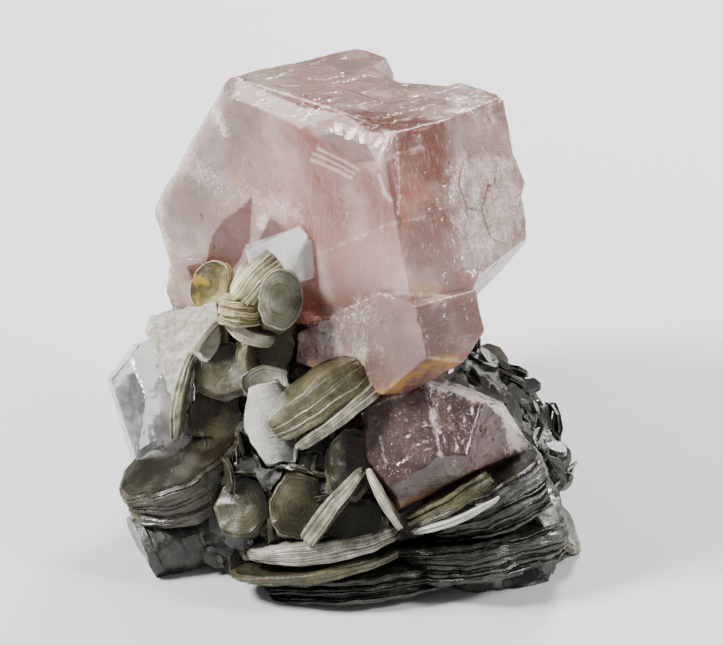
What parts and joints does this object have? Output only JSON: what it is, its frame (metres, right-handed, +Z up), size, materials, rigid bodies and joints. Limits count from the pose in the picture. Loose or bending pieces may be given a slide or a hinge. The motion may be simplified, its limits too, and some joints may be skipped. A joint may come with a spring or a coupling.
{
  "type": "fluorapatite crystal",
  "caption": "pale pink hexagonal fluorapatite crystal on a matrix of silvery muscovite mica books, with a second apatite, clear quartz and feldspar",
  "frame": {"origin": "on the surface that the specimen stands on, under the middle of its box", "axes": "+Z up, +X to the right seen from the front, +Y from the front to the back"},
  "size_m": [0.0484, 0.0478, 0.046],
  "materials": {
    "apatite": "translucent pale pink crystal, glassy faces with veils and frosted patches",
    "apatite_lower": "translucent greyish pink crystal with frosted faces",
    "quartz": "clear colourless crystal",
    "feldspar": "pinkish white, dull to pearly, faintly translucent",
    "mica_pale": "silvery grey-green mica with pearly faces and cream plate edges",
    "mica_dark": "dark olive-grey mica, glassy to pearly, with finely striated plate edges",
    "matrix": "rough grey mass of fine mica, quartz and feldspar"
  },
  "bodies": {
    "root": {"fluorapatite_main": "apatite", "fluorapatite_lower": "apatite_lower", "quartz_tip": "quartz", "quartz_left": "quartz", "feldspar_left": "feldspar", "matrix_rock": "matrix", "mica_rosette_top": "mica_pale", "mica_plate_round": "mica_pale", "mica_blade_long": "mica_pale", "mica_plate_hex": "mica_pale", "mica_book_feather": "mica_pale", "mica_tent": "mica_pale", "mica_rosette_left": "mica_dark", "mica_book_lower_left": "mica_dark", "mica_plates_front": "mica_dark", "mica_stack_front": "mica_dark", "mica_books_right": "mica_dark", "mica_column_right": "mica_dark", "mica_wedge_right": "mica_dark", "mica_fan_back_right": "mica_dark", "mica_fan_back_left": "mica_dark", "mica_book_back_left": "mica_dark", "mica_books_back": "mica_dark", "mica_book_back_upper": "mica_dark"}
  },
  "joints": []
}
